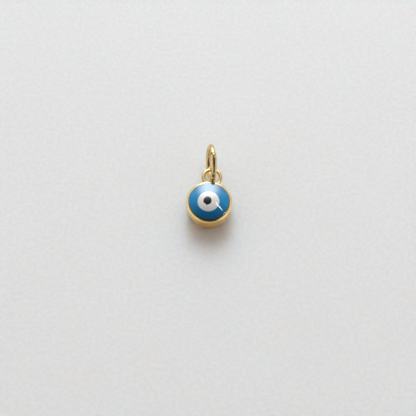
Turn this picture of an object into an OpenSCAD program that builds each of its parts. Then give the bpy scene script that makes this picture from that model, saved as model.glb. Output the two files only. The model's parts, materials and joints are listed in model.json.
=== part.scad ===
// Evil eye pendant: a domed glass eye in a gilt cup, with a soldered loop and a bail ring through it.
// It lies on its back. The origin is the centre of the flat back, +Z is up and the loop points to +Y.

/* [Cup] */
// Outside diameter of the cup over its rim
rim_d = 7.0; // [6.4:0.1:9]
// Outside diameter of the flat back
back_d = 6.5; // [6:0.1:7.5]
// Height of the cup from its back to the top of its lip's round
cup_h = 3.35; // [2.8:0.05:4.4]
// Width of the lip, from the outside of the rim to the bore that holds the glass
lip_w = 0.40; // [0.35:0.01:0.6]
// Radius of the lip's rounded outer side
lip_round = 0.5; // [0.3:0.05:0.7]
// Thickness of the cup's back
back_t = 0.6; // [0.3:0.05:1]
// Least thickness of the cup's wall beside the glass
wall_t = 0.3; // [0.2:0.05:0.4]
// Radius of the rounded edge round the back
back_round = 0.3; // [0.1:0.05:0.5]

/* [Glass eye] */
// Gap between the glass and the cup, all round and below
glass_gap = 0.03; // [0.02:0.01:0.08]
// How far the glass's edge lies below the top of the lip's round
glass_drop = 0.05; // [0.02:0.01:0.3]
// Height of the dome's top above the glass's edge
dome_rise = 0.44; // [0.25:0.01:1.2]
// Diameter of the white disc
iris_d = 3.3; // [2.6:0.1:4.2]
// Depth of the white disc at its middle
iris_t = 0.5; // [0.35:0.05:0.8]
// Offset of the white disc from the middle of the dome, along X
iris_x = -0.08; // [-0.3:0.01:0.3]
// Offset of the white disc from the middle of the dome, along Y
iris_y = -0.25; // [-0.3:0.01:0.3]
// Diameter of the black pupil
pupil_d = 1.3; // [0.9:0.1:1.8]
// Depth of the black pupil at its middle
pupil_t = 0.22; // [0.15:0.01:0.3]
// Offset of the pupil from the middle of the dome, along X
pupil_x = -0.24; // [-0.4:0.01:0.4]
// Offset of the pupil from the middle of the dome, along Y
pupil_y = -0.17; // [-0.4:0.01:0.4]
// Gap round and below each inlaid disc
inlay_gap = 0.02; // [0.01:0.01:0.04]

/* [Loop] */
// Outside diameter of the soldered loop
loop_d = 3.3; // [2.8:0.1:4.5]
// Thickness of the loop's wire
loop_wire = 0.6; // [0.4:0.05:0.7]
// Height of the loop's middle above the back
loop_h = 1.45; // [0.8:0.05:1.8]
// How deep the loop is sunk in the cup's wall where it is soldered
loop_bite = 0.15; // [0.1:0.01:0.25]

/* [Bail ring] */
// Outside diameter of the bail ring
ring_d = 5.9; // [5.4:0.1:8]
// Thickness of the ring's wire
ring_wire = 0.8; // [0.5:0.05:0.9]
// Gap between the ring and the rim of the cup
ring_clear = 0.27; // [0.1:0.01:0.5]
// Offset to the side, from the loop's middle, of the point where the ring passes through it
ring_side = -0.05; // [-0.1:0.01:0.1]
// Degrees that the standing ring leans to one side
ring_lean = 7.6; // [0:0.1:12]
// Degrees that the ring is turned about the vertical
ring_turn = 11; // [-15:0.5:15]
// Width of the cut where the ring's ends meet
ring_cut = 0.06; // [0.03:0.01:0.3]
// Degrees of the cut above the ring's far side, where 90 is its top
ring_cut_at = 83; // [60:1:120]

/* [Hidden] */
$fn = 96;
dome_facets = 360;
gold = "#c9a367";

rim_r = rim_d / 2;
back_r = back_d / 2;
bore_r = rim_r - lip_w;

// The outer wall is the common tangent of the round lip and of the round edge at the back.
lip = [rim_r - lip_round, cup_h - lip_round];
edge = [back_r - back_round, back_round];
span = lip - edge;
draft = atan2(span.x, span.y) + asin((lip_round - back_round) / norm(span));
wall_out = [cos(draft), -sin(draft)];

// The glass stands in the bore, and its dome is part of a sphere.
glass_r = bore_r - glass_gap;
dome_r = (pow(glass_r, 2) + pow(dome_rise, 2)) / (2 * dome_rise);
dome_top_z = cup_h - glass_drop + dome_rise;
iris_base_z = dome_top_z - iris_t;
pupil_base_z = dome_top_z - pupil_t;

loop_r = (loop_d - loop_wire) / 2;
loop_y = outer_r(loop_h) - loop_bite + loop_d / 2;

// The ring stands on the surface that the back lies on, and crosses the loop's plane inside the loop.
ring_r = (ring_d - ring_wire) / 2;
ring_z = ring_r * cos(ring_lean) + ring_wire / 2;
ring_y = rim_r + ring_clear + ring_d / 2 * cos(ring_turn);
cross_rise = (loop_h - ring_z) / cos(ring_lean);
cross_run = -sqrt(pow(ring_r, 2) - pow(cross_rise, 2));
ring_x = ring_side + cross_run * sin(ring_turn) - cross_rise * sin(ring_lean) * cos(ring_turn);
cut_angle = ring_cut / ring_r * 180 / PI;

// Radius of the cup's outer wall at a height
function outer_r(z) = lip.x + lip_round / cos(draft) + (z - lip.y) * tan(draft);

// Half of the cup's section without its bore: a drafted wall, a round lip and a round edge at the back
module cup_section() {
    polygon([
        [0, 0],
        [edge.x, 0],
        edge,
        edge + back_round * wall_out,
        lip + lip_round * wall_out,
        lip,
        [lip.x, cup_h],
        [0, cup_h]
    ]);
    translate(lip) circle(r = lip_round);
    translate(edge) circle(r = back_round);
}

// The room for the glass, less a gap: a straight bore that narrows where the wall would get too thin
module bore(gap, h) {
    base_z = back_t + gap;
    in = wall_t + gap;
    translate([0, 0, base_z]) intersection() {
        cylinder(r = bore_r - gap, h = h);
        cylinder(r1 = outer_r(base_z) - in, r2 = outer_r(base_z + h) - in, h = h);
    }
}

module wire_ring(middle_r, wire) {
    rotate_extrude() translate([middle_r, 0]) circle(d = wire);
}

// Gilt cup with the small loop soldered to its wall, and the bore for the glass
module bezel_cup() {
    color(gold) difference() {
        union() {
            rotate_extrude() cup_section();
            translate([0, loop_y, loop_h]) wire_ring(loop_r, loop_wire);
        }
        bore(0, cup_h);
    }
}

module dome_ball() {
    translate([0, 0, dome_top_z - dome_r]) sphere(r = dome_r, $fn = dome_facets);
}

// One disc inlaid in the dome, standing straight up from its flat base
module inlay(x, y, base_z, r, gap) {
    translate([x, y, base_z - gap]) cylinder(r = r + gap, h = dome_top_z - base_z + 2 * gap);
}

// Domed blue glass with a flat-bottomed recess for the white disc
module blue_glass() {
    color("#2277b0") difference() {
        intersection() {
            bore(glass_gap, dome_top_z - back_t - glass_gap);
            dome_ball();
        }
        inlay(iris_x, iris_y, iris_base_z, iris_d / 2, inlay_gap);
    }
}

// White disc, flush with the dome, with a recess for the pupil
module white_iris() {
    color("#eeeeea") difference() {
        intersection() {
            inlay(iris_x, iris_y, iris_base_z, iris_d / 2, 0);
            dome_ball();
        }
        inlay(pupil_x, pupil_y, pupil_base_z, pupil_d / 2, inlay_gap);
    }
}

// Black pupil, flush with the dome
module black_pupil() {
    color("#202124") intersection() {
        inlay(pupil_x, pupil_y, pupil_base_z, pupil_d / 2, 0);
        dome_ball();
    }
}

// Open jump ring of round wire, standing through the loop
module bail_ring() {
    color(gold) translate([ring_x, ring_y, ring_z])
        rotate([0, 0, ring_turn])
            rotate([0, ring_lean, 0])
                rotate([ring_cut_at, 0, 0])
                    rotate([0, 90, 0])
                        rotate([0, 0, 90 + cut_angle / 2])
                            rotate_extrude(angle = 360 - cut_angle)
                                translate([ring_r, 0]) circle(d = ring_wire);
}

bezel_cup();
blue_glass();
white_iris();
black_pupil();
bail_ring();
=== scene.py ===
# A small evil eye pendant: a domed glass eye set in a gilt cup, with a soldered loop and an open jump
# ring. It lies on its back on white paper. +Z is up, and +Y runs from the cup towards the loop. A piece
# is shaped with a metre standing for a millimetre, and gets its real size when its shape is done.
import bmesh
import bpy
import json
import math
from mathutils import Matrix, Vector


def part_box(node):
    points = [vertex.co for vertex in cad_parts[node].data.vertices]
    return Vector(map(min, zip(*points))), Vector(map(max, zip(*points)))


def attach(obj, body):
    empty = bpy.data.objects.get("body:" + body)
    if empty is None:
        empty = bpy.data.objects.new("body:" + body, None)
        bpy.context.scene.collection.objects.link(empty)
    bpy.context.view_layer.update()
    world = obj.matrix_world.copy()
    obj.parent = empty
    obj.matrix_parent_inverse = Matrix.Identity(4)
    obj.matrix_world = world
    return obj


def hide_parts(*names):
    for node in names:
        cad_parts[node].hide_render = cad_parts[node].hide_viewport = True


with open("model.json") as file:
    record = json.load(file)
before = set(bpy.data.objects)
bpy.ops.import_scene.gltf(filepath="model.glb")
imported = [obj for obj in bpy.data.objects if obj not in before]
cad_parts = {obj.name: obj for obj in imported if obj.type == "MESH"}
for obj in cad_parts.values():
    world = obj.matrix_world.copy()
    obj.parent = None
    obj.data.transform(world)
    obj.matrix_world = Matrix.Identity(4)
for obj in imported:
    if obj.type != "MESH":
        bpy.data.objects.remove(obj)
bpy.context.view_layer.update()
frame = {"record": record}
bpy.ops.object.select_all(action="DESELECT")


# The cup and its loop. The real cup is cast in brass, with a drafted wall, a lip that rounds over
# outward, a bore for the glass and a flat back. A closed loop of round wire is soldered to its wall.
# Both are polished and plated in pale gold, and the gold on the loop's side is painted darker as
# painted shade.
MM = 0.001
HAIR = 0.01  # how near a place has to be to be picked, in millimetres as all sizes below


def box_mm(node):
    """The lowest and highest corners of one of the frame's nodes, in millimetres."""
    low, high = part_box(node)
    return low / MM, high / MM


cup_high = box_mm("bezel_cup")[1]
rim_r = cup_high.x
cup_h = 3.35
lip_w = 0.40
lip_round = 0.5
round_r = rim_r - lip_round  # the middle of the lip's round, from the cup's axis
round_z = cup_h - lip_round  # and its height
wall_slope = 0.0965  # how far the wall spreads for each millimetre up
wall_t = 0.3
wall_top = 2.9
back_t = 0.6
back_round = 0.27
bore_r = rim_r - lip_w
bore_edge = 0.02
loop_wire_r = 0.3
loop_r = 1.35
loop_at = Vector((0, cup_high.y - loop_r - loop_wire_r, 1.45))

CUP_SIDES = 192
LIP_ROWS = 24
BACK_ROWS = 6
WALL_ROWS = 8
LOOP_STEPS = 144
WIRE_SIDES = 40


def wall_r(z):
    """The outside radius of the cup's wall at a height."""
    return round_r + lip_round * math.hypot(1, wall_slope) + (z - round_z) * wall_slope


def edit(piece):
    """Opens a piece for editing, and nothing else."""
    bpy.ops.object.select_all(action="DESELECT")
    piece.select_set(True)
    bpy.context.view_layer.objects.active = piece
    bpy.ops.object.mode_set(mode="EDIT")


def done():
    """Closes the piece that is open."""
    bpy.ops.object.mode_set(mode="OBJECT")


def set_down():
    """Puts the place, turn and scale of the piece at hand into its mesh, and returns the piece."""
    bpy.ops.object.transform_apply(location=True, rotation=True, scale=True)
    return bpy.context.object


def pick(piece, kind, wanted):
    """Selects the faces, edges or vertices whose middle passes a test."""
    bpy.ops.mesh.select_mode(type=kind)
    bpy.ops.mesh.select_all(action="DESELECT")
    work = bmesh.from_edit_mesh(piece.data)
    for item in {"VERT": work.verts, "EDGE": work.edges, "FACE": work.faces}[kind]:
        corners = [item] if kind == "VERT" else item.verts
        if wanted(sum((corner.co for corner in corners), Vector()) / len(corners)):
            item.select_set(True)
    bmesh.update_edit_mesh(piece.data)


def across(point):
    """How far a point lies from the cup's axis."""
    return math.hypot(point.x, point.y)


def scale_flat(factor):
    """Widens or narrows what is selected about the cup's axis."""
    bpy.ops.transform.resize(value=(factor, factor, 1), center_override=(0, 0, 0))


def slice_off(piece, point, outward):
    """Cuts a piece at a plane, drops what lies outward of it and closes the cut."""
    edit(piece)
    bpy.ops.mesh.select_all(action="SELECT")
    bpy.ops.mesh.bisect(plane_co=point, plane_no=outward, clear_outer=True, use_fill=True)
    done()


def copy_of(piece):
    """A second piece with a mesh of its own."""
    twin = piece.copy()
    twin.data = piece.data.copy()
    bpy.context.collection.objects.link(twin)
    return twin


def finish_modifier(piece, name, kind, **settings):
    """Gives a piece one modifier and applies it."""
    modifier = piece.modifiers.new(name, kind)
    for key, value in settings.items():
        setattr(modifier, key, value)
    bpy.ops.object.select_all(action="DESELECT")
    bpy.context.view_layer.objects.active = piece
    bpy.ops.object.modifier_apply(modifier=name)


def combine(piece, other, name, operation):
    """Adds another solid to a piece, or cuts it out, and uses the other one up."""
    finish_modifier(piece, name, "BOOLEAN", operation=operation, solver="EXACT", object=other)
    bpy.data.objects.remove(other)


def real_size(piece, name, sharp=35):
    """Turns the normals outward, makes a metre a millimetre and smooths the shading up to an angle."""
    edit(piece)
    bpy.ops.mesh.select_all(action="SELECT")
    bpy.ops.mesh.normals_make_consistent(inside=False)
    done()
    piece.name = name
    piece.data.name = name
    piece.scale = (MM, MM, MM)
    set_down()
    bpy.ops.object.shade_smooth_by_angle(angle=math.radians(sharp))


bpy.ops.mesh.primitive_cylinder_add(
    vertices=CUP_SIDES, radius=wall_r(0), depth=cup_h, location=(0, 0, cup_h / 2)
)
cup = set_down()
edit(cup)
pick(cup, "FACE", lambda at: at.z > cup_h - HAIR)
scale_flat(wall_r(cup_h) / wall_r(0))
pick(cup, "EDGE", lambda at: at.z > cup_h - HAIR and across(at) > wall_r(cup_h) - HAIR)
lip_corner = math.pi / 2 - math.atan(wall_slope)
bpy.ops.mesh.bevel(
    offset=lip_round / math.tan(lip_corner / 2), segments=LIP_ROWS, profile=0.5, affect="EDGES"
)
pick(cup, "EDGE", lambda at: at.z < HAIR and across(at) > wall_r(0) - HAIR)
bpy.ops.mesh.bevel(offset=back_round, segments=BACK_ROWS, profile=0.5, affect="EDGES")
for row in range(1, WALL_ROWS):
    row_z = back_t + (cup_h - 2 * back_t) * row / WALL_ROWS
    bpy.ops.mesh.select_all(action="SELECT")
    bpy.ops.mesh.bisect(plane_co=(0, 0, row_z), plane_no=(0, 0, 1))
done()

bpy.ops.mesh.primitive_torus_add(
    major_radius=loop_r, minor_radius=loop_wire_r, major_segments=LOOP_STEPS,
    minor_segments=WIRE_SIDES, location=loop_at
)
loop = set_down()

# The solder has run into the groove between the wire and the wall. A copy of the joint is melted
# together and smoothed, so that it shows only where it fills the groove.
joint_y = wall_r(loop_at.z)
joint_wire = 0.75  # how far along the wire the solder can have run
joint_half = 0.85  # and how far up and down the wall
joint_depth = 0.8  # how much of the cup goes into the melt behind it
joint = copy_of(cup)
wire_end = copy_of(loop)
slice_off(wire_end, (0, joint_y + joint_wire, 0), (0, 1, 0))
slice_off(joint, (0, joint_y - joint_depth, 0), (0, -1, 0))
slice_off(joint, (0, 0, loop_at.z + joint_half), (0, 0, 1))
slice_off(joint, (0, 0, loop_at.z - joint_half), (0, 0, -1))
combine(joint, wire_end, "Tacked", "UNION")
finish_modifier(joint, "Melted", "REMESH", mode="VOXEL", voxel_size=0.03)
finish_modifier(joint, "Flowed", "SMOOTH", factor=0.5, iterations=14)
combine(cup, loop, "Soldered", "UNION")
combine(cup, joint, "Filled", "UNION")

# The bore goes through the lip, straight at first and then narrower, where the wall would get too
# thin. Its edge is broken by a small round that runs into the lip's. The drill has the shape of the
# bore and of that round, and widens above them so that it leaves the metal cleanly.
narrow_z = round_z + (bore_r + wall_t - wall_r(round_z)) / wall_slope
edge_r = bore_r + bore_edge
edge_z = round_z + math.sqrt((lip_round - bore_edge) ** 2 - (edge_r - round_r) ** 2)
bpy.ops.mesh.primitive_cylinder_add(
    vertices=CUP_SIDES, radius=bore_r, depth=edge_z - back_t, location=(0, 0, (edge_z + back_t) / 2)
)
drill = set_down()
edit(drill)
bpy.ops.mesh.select_all(action="SELECT")
bpy.ops.mesh.bisect(plane_co=(0, 0, narrow_z), plane_no=(0, 0, 1))
pick(drill, "VERT", lambda at: at.z < back_t + HAIR)
scale_flat((wall_r(back_t) - wall_t) / bore_r)
pick(drill, "FACE", lambda at: at.z > edge_z - HAIR)
flare_turn = math.pi / 10
flare = []
for step in range(1, 5):
    turn = step * flare_turn
    rise = bore_edge * (math.sin(turn) - math.sin(turn - flare_turn))
    flare.append((edge_r - bore_edge * math.cos(turn), rise))
free_r = edge_r + 2 * bore_edge
free_rise = 0.02
shank_rise = 0.2
drill_r = bore_r
for next_r, rise in flare + [(free_r, free_rise), (free_r, shank_rise)]:
    bpy.ops.mesh.extrude_region_move(TRANSFORM_OT_translate={"value": (0, 0, rise)})
    scale_flat(next_r / drill_r)
    drill_r = next_r
done()
combine(cup, drill, "Bored", "DIFFERENCE")
real_size(cup, "gilt_cup_and_loop")


def new_finish(name):
    """A fresh finish, with its shader and the object's own coordinates."""
    finish = bpy.data.materials.new(name)
    finish.use_nodes = True
    where = finish.node_tree.nodes.new("ShaderNodeTexCoord").outputs["Object"]
    return finish, finish.node_tree.nodes["Principled BSDF"], where


def grain(finish, where, size, detail=2.0, stretch=(1, 1, 1), turn=(0, 0, 0)):
    """Noise whose marks are about this many millimetres across, pulled out along an axis by stretch."""
    nodes, links = finish.node_tree.nodes, finish.node_tree.links
    mapping = nodes.new("ShaderNodeMapping")
    mapping.inputs["Rotation"].default_value = [math.radians(a) for a in turn]
    mapping.inputs["Scale"].default_value = [1 / (size * MM * s) for s in stretch]
    noise = nodes.new("ShaderNodeTexNoise")
    noise.inputs["Scale"].default_value = 1
    noise.inputs["Detail"].default_value = detail
    links.new(where, mapping.inputs["Vector"])
    links.new(mapping.outputs["Vector"], noise.inputs["Vector"])
    return noise.outputs["Fac"]


def between(owner, share, low, high, start=0.35, end=0.65):
    """A number of a finish or light that runs from low to high as a share runs from start to end."""
    node = owner.node_tree.nodes.new("ShaderNodeMapRange")
    node.interpolation_type = "SMOOTHSTEP"
    for name, value in (("From Min", start), ("From Max", end), ("To Min", low), ("To Max", high)):
        node.inputs[name].default_value = value
    owner.node_tree.links.new(share, node.inputs["Value"])
    return node.outputs["Result"]


def reckon(owner, operation, *parts):
    """One step of arithmetic on numbers and on other nodes' results."""
    node = owner.node_tree.nodes.new("ShaderNodeMath")
    node.operation = operation
    for slot, part in zip(node.inputs, parts):
        if isinstance(part, bpy.types.NodeSocket):
            owner.node_tree.links.new(part, slot)
        else:
            slot.default_value = part
    return node.outputs["Value"]


def split(owner, vector):
    """The X, Y and Z of a place or direction."""
    node = owner.node_tree.nodes.new("ShaderNodeSeparateXYZ")
    owner.node_tree.links.new(vector, node.inputs["Vector"])
    return node.outputs


def blend_colours(finish, share, first, second):
    """A colour between two, by a share. Each is a colour or another node's colour."""
    node = finish.node_tree.nodes.new("ShaderNodeMix")
    node.data_type = "RGBA"
    finish.node_tree.links.new(share, node.inputs["Factor"])
    for socket, colour in (("A", first), ("B", second)):
        slot = [s for s in node.inputs if s.name == socket and s.type == "RGBA"][0]
        if isinstance(colour, bpy.types.NodeSocket):
            finish.node_tree.links.new(colour, slot)
        else:
            slot.default_value = (*colour, 1)
    return [s for s in node.outputs if s.type == "RGBA"][0]


def relief(finish, height, microns, under=None):
    """Raises a surface by a height pattern, over another relief if there is one."""
    bump = finish.node_tree.nodes.new("ShaderNodeBump")
    bump.inputs["Strength"].default_value = 1
    bump.inputs["Distance"].default_value = microns * MM * MM
    finish.node_tree.links.new(height, bump.inputs["Height"])
    if under:
        finish.node_tree.links.new(under, bump.inputs["Normal"])
    return bump.outputs["Normal"]


CUP_GOLD = (0.96, 0.74, 0.36)
CUP_GOLD_DEEP = (0.93, 0.68, 0.28)
# The gold towards the loop's side is painted darker, as painted shade.
LOOP_SIDE_SHADE_GOLD = (0.70, 0.53, 0.26)
# A brown painted into corners as painted shade, and how far the occlusion looks for other surfaces.
CORNER_SHADE = (0.42, 0.21, 0.06)
CORNER_SHADE_REACH = 1.3
SMUDGE = 0.12  # how much rougher a smudge is than clean gold
SATIN = 0.25  # and how much rougher the satin wall is
SATIN_FADE = 0.3
REPOLISHED = (2.6, 3.1)  # where along Y the satin gives way to polish
LOOP_SIDE_SHADE_SPAN = (-0.5, 2.8)  # and where the gold darkens


def gilding(name, pale, deep, swell, roughness, satin_below=None, heated=None):
    """Polished gold plating: soft swells left by polishing, fine scratches both ways and duller
    smudges, with brown painted shade in corners where other surfaces close in. Below a height it can be
    left satin, as it came from the tumbler, and towards the loop it can be painted darker, as painted
    shade."""
    finish, shader, where = new_finish(name)
    link = finish.node_tree.links.new
    shader.inputs["Metallic"].default_value = 1
    gold = blend_colours(
        finish, between(finish, grain(finish, where, 0.9, detail=4), 0, 1), pale, deep
    )
    dull = grain(finish, where, 0.35, detail=5)
    surface = between(finish, dull, roughness, roughness + SMUDGE, 0.4, 0.75)
    if satin_below:
        parts = split(finish, where)
        satin_full = (satin_below - SATIN_FADE) * MM
        wall = between(finish, parts["Z"], SATIN, 0, satin_full, satin_below * MM)
        unpolished = between(finish, parts["Y"], 1, 0, *(y * MM for y in REPOLISHED))
        surface = reckon(finish, "MULTIPLY_ADD", wall, unpolished, surface)
        # Painted shade: the gold is blended towards a darker colour as Y nears the loop.
        unshaded = between(finish, parts["Y"], 1, 0, *(y * MM for y in LOOP_SIDE_SHADE_SPAN))
        gold = blend_colours(finish, unshaded, heated, gold)
    # Painted shade: the gold is blended to brown where ambient occlusion finds other surfaces within
    # reach.
    corners = finish.node_tree.nodes.new("ShaderNodeAmbientOcclusion")
    corners.samples = 8
    corners.inputs["Distance"].default_value = CORNER_SHADE_REACH * MM
    corner_shade = between(finish, corners.outputs["AO"], 0.9, 0, 0.15, 0.6)
    link(blend_colours(finish, corner_shade, gold, CORNER_SHADE), shader.inputs["Base Color"])
    link(surface, shader.inputs["Roughness"])
    swells = relief(finish, grain(finish, where, 0.8, detail=1), swell)
    pits = relief(finish, grain(finish, where, 0.06, detail=3), 0.35, swells)
    rubbed = grain(finish, where, 0.05, stretch=(18, 1, 1), turn=(20, 35, 25))
    rubbed_back = grain(finish, where, 0.05, stretch=(1, 18, 1), turn=(-15, 10, -30))
    scratched = relief(finish, rubbed, 0.5, pits)
    link(relief(finish, rubbed_back, 0.5, scratched), shader.inputs["Normal"])
    return finish


cup.data.materials.clear()
cup.data.materials.append(gilding(
    "cup_gilding", CUP_GOLD, CUP_GOLD_DEEP, swell=4, roughness=0.12, satin_below=wall_top,
    heated=LOOP_SIDE_SHADE_GOLD
))
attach(cup, "root")
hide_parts("bezel_cup")


# The blue eye. It is a low cabochon of opaque blue glass, fire polished, that fills the cup up to its
# lip. Its edge is a little rounded, so a hair of a groove runs round it. A flat-bottomed recess holds
# the white disc.
AROUND = 160  # faces round each turn of the glass
glass_low, glass_high = box_mm("blue_glass")
white_low, white_high = box_mm("white_iris")
black_low, black_high = box_mm("black_pupil")
glass_side_r = glass_high.x
dome_rise = 0.44
dome_r = (glass_side_r ** 2 + dome_rise ** 2) / (2 * dome_rise)
proud = 0.08
dome_z = black_high.z + proud - dome_r
shoulder_r = 0.06
shoulder_at = Vector((glass_side_r - shoulder_r, 0))
shoulder_at.y = dome_z + math.sqrt((dome_r - shoulder_r) ** 2 - shoulder_at.x ** 2)
shoulder_rows = 12
white_r = (white_high.x - white_low.x) / 2
white_at = (white_low + white_high) / 2
white_oval = 0.014  # how far the white disc is out of round
white_ripple = 0.01  # and how uneven its edge is


def dome(x, y):
    """The height of the domed face over a point."""
    return dome_z + math.sqrt(dome_r ** 2 - x * x - y * y)


def white_edge(angle):
    """The white disc's radius: nearly round, as a poured drop is."""
    oval = white_oval * math.sin(2 * angle + 0.6)
    return white_r + oval + white_ripple * math.sin(5 * angle + 2)


def outline(edge, middle, height):
    """One ring of a loft: a radius at each angle, a middle, and a height or a surface to lie on."""
    bpy.ops.mesh.primitive_circle_add(vertices=AROUND, location=(0, 0, 0), fill_type="NOTHING")
    piece = bpy.context.object
    if piece.mode == "OBJECT":  # the first ring opens a piece, and the others are added to it
        edit(piece)
    work = bmesh.from_edit_mesh(piece.data)
    work.verts.ensure_lookup_table()
    for ring in list(work.verts)[-AROUND:]:
        angle = math.atan2(ring.co.y, ring.co.x)
        radius = edge(angle) if callable(edge) else edge
        x = middle.x + radius * math.cos(angle)
        y = middle.y + radius * math.sin(angle)
        ring.co = (x, y, height(x, y) if callable(height) else height)
    bmesh.update_edit_mesh(piece.data)
    return piece


def pick_rings(piece, first, count):
    """Selects some rings of a loft, and says how many vertices the loft has."""
    bpy.ops.mesh.select_all(action="DESELECT")
    work = bmesh.from_edit_mesh(piece.data)
    work.verts.ensure_lookup_table()
    for ring in list(work.verts)[first * AROUND:(first + count) * AROUND]:
        ring.select_set(True)
    work.select_flush(True)
    bmesh.update_edit_mesh(piece.data)
    return len(work.verts)


def loft(rings):
    """Joins a stack of rings by strips of faces and closes both ends. Each ring has an edge, a middle,
    a height and the number of extra rows that are laid on the dome between it and the next."""
    for edge, middle, height, rows in rings:
        piece = outline(edge, middle, height)
    bpy.ops.mesh.select_mode(type="VERT")
    for number in range(len(rings) - 1):
        before = pick_rings(piece, number, 2)
        rows = rings[number][3]
        bpy.ops.mesh.bridge_edge_loops(number_cuts=rows, interpolation="LINEAR")
        if rows:
            work = bmesh.from_edit_mesh(piece.data)
            work.verts.ensure_lookup_table()
            for point in list(work.verts)[before:]:
                point.co.z = dome(point.co.x, point.co.y)
            bmesh.update_edit_mesh(piece.data)
    for end in (0, len(rings) - 1):
        pick_rings(piece, end, 1)
        bpy.ops.mesh.edge_face_add()
    done()
    return piece


centre = Vector((0, 0, 0))
rings = [
    (white_edge, white_at, white_low.z, 0),
    (white_edge, white_at, dome, 20),
]
shoulder_start = math.atan2(shoulder_at.y - dome_z, shoulder_at.x)
for row in range(shoulder_rows + 1):
    turn = shoulder_start * (1 - row / shoulder_rows)
    radius = shoulder_at.x + shoulder_r * math.cos(turn)
    rings.append((radius, centre, shoulder_at.y + shoulder_r * math.sin(turn), 0))
rings.append((glass_side_r, centre, narrow_z, 0))
rings.append((wall_r(glass_low.z) - wall_t - bore_r + glass_side_r, centre, glass_low.z, 0))
eye = loft(rings)
real_size(eye, "blue_glass_eye")

GLASS_WAVER = 0.5  # how far the bands of colour stray
GLASS_IOR = 1.65  # a dense glass with a strong gloss


def painted_shade_along_y(finish, where, stops, bow):
    """A colour that changes along Y, given at some distances in millimetres, as painted shade. Its
    bands bow towards the loop at both sides, so the flanks are painted lighter, and waver a little."""
    parts = split(finish, where)
    side = reckon(finish, "DIVIDE", parts["X"], MM)
    ahead = reckon(finish, "DIVIDE", parts["Y"], MM)
    bowed = reckon(finish, "MULTIPLY_ADD", reckon(finish, "MULTIPLY", side, side), bow, ahead)
    streaks = grain(finish, where, 0.5, detail=3, stretch=(2, 1, 1))
    wavering = reckon(finish, "MULTIPLY_ADD", streaks, GLASS_WAVER, bowed)
    ramp = finish.node_tree.nodes.new("ShaderNodeValToRGB")
    first, last = stops[0][0], stops[-1][0]
    place = between(finish, wavering, 0, 1, first + GLASS_WAVER / 2, last + GLASS_WAVER / 2)
    place.node.interpolation_type = "LINEAR"
    finish.node_tree.links.new(place, ramp.inputs["Fac"])
    band = ramp.color_ramp.elements
    band.remove(band[1])
    for number, (distance, colour) in enumerate(stops):
        spot = (distance - first) / (last - first)
        stop = band.new(spot) if number else band[0]
        stop.color = (*colour, 1)
    return ramp.outputs["Color"]


def enamel(name, stops, bow, streak_shade, streak_size, roughness, swell):
    """Opaque glass with a fired gloss: a colour painted darker away from the loop as painted shade,
    faint streaks of some darkness and size, a slow swell, and a little dust and handling."""
    finish, shader, where = new_finish(name)
    link = finish.node_tree.links.new
    tint = painted_shade_along_y(finish, where, stops, bow)
    streak = between(finish, grain(finish, where, streak_size, detail=4), 0, streak_shade, 0.4, 0.7)
    link(blend_colours(finish, streak, tint, (0, 0, 0)), shader.inputs["Base Color"])
    dust = grain(finish, where, 0.5, detail=5)
    link(between(finish, dust, roughness, roughness + 0.06, 0.45, 0.8), shader.inputs["Roughness"])
    shader.inputs["IOR"].default_value = GLASS_IOR
    swells = relief(finish, grain(finish, where, 1.3, detail=1), swell)
    link(relief(finish, grain(finish, where, 0.09, detail=2), 0.12, swells), shader.inputs["Normal"])
    return finish


# The blue is painted darker away from the loop and at the far edge: painted shade.
SHADED_BLUES = (
    (-2.5, (0.006, 0.100, 0.230)),
    (-1.3, (0.007, 0.150, 0.330)),
    (-0.5, (0.008, 0.195, 0.440)),
    (0.3, (0.010, 0.262, 0.560)),
    (1.7, (0.010, 0.255, 0.555)),
    (2.5, (0.012, 0.160, 0.310)),
)
eye.data.materials.append(enamel(
    "blue_enamel", SHADED_BLUES, bow=0.09, streak_shade=0.10, streak_size=0.4, roughness=0.03, swell=0.8
))
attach(eye, "root")
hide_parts("blue_glass")


# The white of the eye: a disc of opaque white glass let into the dome a little to the left of its
# middle, and ground flush with it. It has a recess of its own for the pupil.
pupil_r = (black_high.x - black_low.x) / 2
pupil_at = (black_low + black_high) / 2
notch_at = math.radians(-122)
notch_depth = 0.1
notch_turn = 0.16
swelling_height = 0.045
swelling_at = 0.45
swelling_turn = 0.3
out_of_round = 0.03


def pupil_edge(angle):
    """The pupil's radius: a drop with a small notch at its lower left, swollen on both sides of it."""
    turned = math.remainder(angle - notch_at, 2 * math.pi)
    notch = notch_depth * math.exp(-(turned / notch_turn) ** 2)
    swelling = swelling_height * math.exp(-((abs(turned) - swelling_at) / swelling_turn) ** 2)
    return pupil_r - notch + swelling - out_of_round * math.cos(2 * angle)


white = loft([
    (pupil_edge, pupil_at, black_low.z, 0),
    (pupil_edge, pupil_at, dome, 12),
    (white_edge, white_at, dome, 0),
    (white_edge, white_at, white_low.z, 0),
])
real_size(white, "white_glass_disc")
# The white is painted darker away from the loop: painted shade.
SHADED_WHITES = (
    (-1.8, (0.55, 0.55, 0.55)),
    (-1.3, (0.63, 0.63, 0.625)),
    (-0.7, (0.73, 0.73, 0.725)),
    (0.1, (0.82, 0.82, 0.815)),
    (1.0, (0.84, 0.84, 0.84)),
)
white.data.materials.append(enamel(
    "white_enamel", SHADED_WHITES, bow=0.0, streak_shade=0.08, streak_size=0.12, roughness=0.03, swell=0.8
))
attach(white, "root")
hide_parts("white_iris")


# The pupil: a small drop of black glass let into the white disc, off its middle, and ground flush with
# it. Its edge is uneven and has a notch at its lower left, where the drop didn't run together.
pupil = loft([
    (pupil_edge, pupil_at, black_low.z, 0),
    (pupil_edge, pupil_at, dome, 10),
    (lambda angle: 0.1 * pupil_edge(angle), pupil_at, dome, 0),
])
real_size(pupil, "black_glass_pupil")
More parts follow.
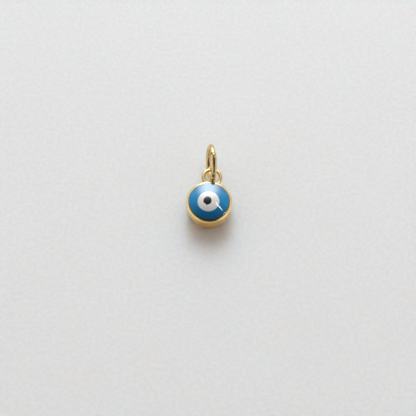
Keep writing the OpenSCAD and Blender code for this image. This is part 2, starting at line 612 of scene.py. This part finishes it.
# The black is painted a little darker away from the loop: painted shade.
SHADED_BLACKS = (
    (-0.8, (0.007, 0.007, 0.008)),
    (0.5, (0.018, 0.018, 0.019)),
)
pupil.data.materials.append(enamel(
    "black_enamel", SHADED_BLACKS, bow=0.0, streak_shade=0.4, streak_size=0.2, roughness=0.09, swell=3
))
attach(pupil, "root")
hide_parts("black_pupil")


# The jump ring: round gold-plated wire bent into a ring and closed end to end by hand, so its ends meet
# a little to the side of each other. It stands in the loop, leans to one side and can turn there.
chain_eye = next(m for m in frame["record"]["mounts"] if m["name"] == "chain_eye")
ring_at = Vector(chain_eye["pos_m"]) / MM
ring_axis = Vector(chain_eye["axis"])
ring_lean = math.asin(-ring_axis.z)
ring_turn = math.atan2(ring_axis.y, ring_axis.x)
ring_wire_r = 0.4
ring_r = 2.55
ring_cut = 0.06
cut_turn = ring_cut / ring_r
cut_at = math.radians(83)
end_round = 0.18
end_step = -0.14  # how far the ends stand out of line
end_bend = 0.35  # and over what turn of the ring, in radians, the wire is bent for it
RING_STEPS = 256
# The ring's gold is painted darker than the cup's, as painted shade for the dim reflections it shows.
RING_SHADED_GOLD = (0.72, 0.555, 0.275)
RING_SHADED_GOLD_DEEP = (0.68, 0.485, 0.20)

bpy.ops.mesh.primitive_circle_add(
    vertices=WIRE_SIDES, radius=ring_wire_r, fill_type="NGON",
    rotation=(math.pi / 2, 0, cut_turn / 2),
    location=(ring_r * math.cos(cut_turn / 2), ring_r * math.sin(cut_turn / 2), 0),
)
ring = set_down()
edit(ring)
bpy.ops.mesh.select_all(action="SELECT")
bpy.ops.mesh.spin(
    steps=RING_STEPS, angle=2 * math.pi - cut_turn, center=(0, 0, 0), axis=(0, 0, 1)
)
bpy.ops.mesh.select_all(action="SELECT")
bpy.ops.mesh.normals_make_consistent(inside=False)
pick(ring, "FACE",
     lambda at: at.x > 0 and abs(at.y) < ring_cut and abs(across(at) - ring_r) < HAIR)
bpy.ops.mesh.bevel(offset=end_round, segments=7, profile=0.5, affect="EDGES")
work = bmesh.from_edit_mesh(ring.data)
for point in work.verts:
    turn = math.atan2(point.co.y, point.co.x)
    point.co.z += math.copysign(end_step / 2 * math.exp(-abs(turn) / end_bend), turn)
bmesh.update_edit_mesh(ring.data)
done()
ring.data.transform(
    Matrix.Translation(ring_at)
    @ Matrix.Rotation(ring_turn, 4, "Z")
    @ Matrix.Rotation(ring_lean, 4, "Y")
    @ Matrix.Rotation(cut_at, 4, "X")
    @ Matrix.Rotation(math.pi / 2, 4, "Y")
    @ Matrix.Rotation(math.pi / 2, 4, "Z")
)
real_size(ring, "gilt_jump_ring")
ring.data.materials.append(gilding(
    "ring_gilding", RING_SHADED_GOLD, RING_SHADED_GOLD_DEEP, swell=2.5, roughness=0.07
))
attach(ring, "root")
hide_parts("bail_ring")


# The white paper that the pendant lies on. It is thick and lets a little light through, so the shadow
# on it is soft and warm, and its matted fibres give it a faint mottle and tooth.
PAPER_PALE = (0.862, 0.881, 0.901)
PAPER_DULL = (0.824, 0.843, 0.863)
PAPER_GLOW = (1, 0.6, 0.38)
bpy.ops.mesh.primitive_plane_add(size=3)
paper = bpy.context.object
paper.name = "paper"
stock, shader, where = new_finish("white_paper")
link = stock.node_tree.links.new
mottle = between(stock, grain(stock, where, 0.55, detail=5), 0, 1)
link(blend_colours(stock, mottle, PAPER_PALE, PAPER_DULL), shader.inputs["Base Color"])
shader.inputs["Roughness"].default_value = 0.95
shader.inputs["Specular IOR Level"].default_value = 0.2
shader.subsurface_method = "BURLEY"
shader.inputs["Subsurface Weight"].default_value = 1
shader.inputs["Subsurface Radius"].default_value = PAPER_GLOW
shader.inputs["Subsurface Scale"].default_value = 9 * MM
tooth = relief(stock, grain(stock, where, 0.6, detail=5), 20)
fibres = grain(stock, where, 0.25, stretch=(4, 1, 1), turn=(0, 0, 40))
link(relief(stock, fibres, 5, tooth), shader.inputs["Normal"])
paper.data.materials.append(stock)


# The camera looks down at the face of the pendant from a little to its right, so that the ring shows
# nearly edge on.
azimuth = math.radians(5)
elevation = math.radians(65.7)
right = Vector((math.cos(azimuth), math.sin(azimuth), 0))
away = Vector((-math.sin(azimuth), math.cos(azimuth), 0))
up = Vector((0, 0, 1))
aim = (-0.18 * right + 0.307 * away) * MM
stand_off = 179.8 * MM
back = -math.cos(elevation) * away + math.sin(elevation) * up
optics = bpy.data.cameras.new("camera")
optics.sensor_width = 36
optics.lens = 100
optics.clip_start = 0.01
camera = bpy.data.objects.new("camera", optics)
camera.location = aim + stand_off * back
camera.rotation_euler = back.to_track_quat("Z", "Y").to_euler()
bpy.context.collection.objects.link(camera)
bpy.context.scene.camera = camera


# The light: one tall window beyond the pendant, soft towards its edges, a narrow strip lamp overhead to
# the right, and a pale room that is dim overhead and darkest on the camera's side.
DAYLIGHT = (0.985, 1.0, 1.025)
ROOM_LIGHT = (1.0, 0.95, 0.89, 1)


def toward(side, level):
    """The direction at an angle to the right of straight ahead, and at a height above the paper."""
    side, level = math.radians(side), math.radians(level)
    return math.cos(level) * (math.sin(side) * right + math.cos(side) * away) + math.sin(level) * up


def lamp(name, place, along, width, height, radiance, soft=0.0):
    """A rectangular lamp that faces the pendant, with its width laid along a direction. Its glow fades
    over a share of its width and height at each edge."""
    light = bpy.data.lights.new(name, "AREA")
    light.shape = "RECTANGLE"
    light.size = width
    light.size_y = height
    light.energy = radiance * math.pi * width * height
    light.color = DAYLIGHT
    lamp_object = bpy.data.objects.new(name, light)
    facing = place.normalized()
    side = (along - along.dot(facing) * facing).normalized()
    turned = Matrix((side, facing.cross(side), facing)).transposed().to_4x4()
    lamp_object.matrix_world = Matrix.Translation(place) @ turned
    lamp_object.visible_camera = False
    bpy.context.collection.objects.link(lamp_object)
    if soft:
        light.use_nodes = True
        tree = light.node_tree
        spot = split(light, tree.nodes.new("ShaderNodeNewGeometry").outputs["Parametric"])
        glow = 1
        for axis in ("X", "Y"):
            for start, end in ((0.0, soft), (1.0, 1 - soft)):
                glow = reckon(light, "MULTIPLY", between(light, spot[axis], 0, 1, start, end), glow)
        tree.links.new(glow, tree.nodes["Emission"].inputs["Strength"])


window_place = 0.55 * toward(-1, 40)
lamp("window", window_place, right, width=0.385, height=0.55, radiance=8.55, soft=0.42)
strip_place = 0.5 * (0.290 * right + 0.2385 * away + up)
strip_along = 0.183 * right - 0.213 * away
lamp("strip_lamp", strip_place, strip_along, width=0.15, height=0.008, radiance=30)

room = bpy.data.worlds.new("room")
room.use_nodes = True
direction = room.node_tree.nodes.new("ShaderNodeTexCoord").outputs["Generated"]


def steer(operation, vector, other=(0, 0, 0)):
    """One step of arithmetic on a direction in the room."""
    node = room.node_tree.nodes.new("ShaderNodeVectorMath")
    node.operation = operation
    node.inputs[1].default_value = other
    room.node_tree.links.new(vector, node.inputs[0])
    return node.outputs


def nearness(vector, place):
    """The cosine of the angle between a direction and a place in the room."""
    return steer("DOT_PRODUCT", vector, place)["Value"]


# The walls fade into a dim ceiling, and the wall round the window glows. The wall behind the camera is
# in shade low down, and the ceiling is in shade above it.
level = steer("NORMALIZE", steer("MULTIPLY", direction, (1, 1, 0))["Vector"])["Vector"]
walls = between(room, nearness(direction, up), 1.02, 0.28, 0.15, 0.85)
window_wall = between(room, nearness(direction, toward(0, 32)), 0.0, 1.2, 0.80, 0.97)
behind = between(room, nearness(level, -away), 0.0, 0.88, 0.70, 0.93)
low_down = between(room, nearness(direction, up), 1.0, 0.0, 0.45, 0.82)
overhead = between(room, nearness(direction, back), 1.0, 0.12, 0.60, 0.92)
lit = reckon(room, "SUBTRACT", 1, reckon(room, "MULTIPLY", behind, low_down))
shaded = reckon(room, "MULTIPLY", walls, reckon(room, "MULTIPLY", lit, overhead))
backdrop = room.node_tree.nodes["Background"]
room.node_tree.links.new(reckon(room, "ADD", shaded, window_wall), backdrop.inputs["Strength"])
backdrop.inputs["Color"].default_value = ROOM_LIGHT
bpy.context.scene.world = room

bpy.context.scene.view_settings.view_transform = "Standard"
bpy.context.scene.view_settings.look = "None"
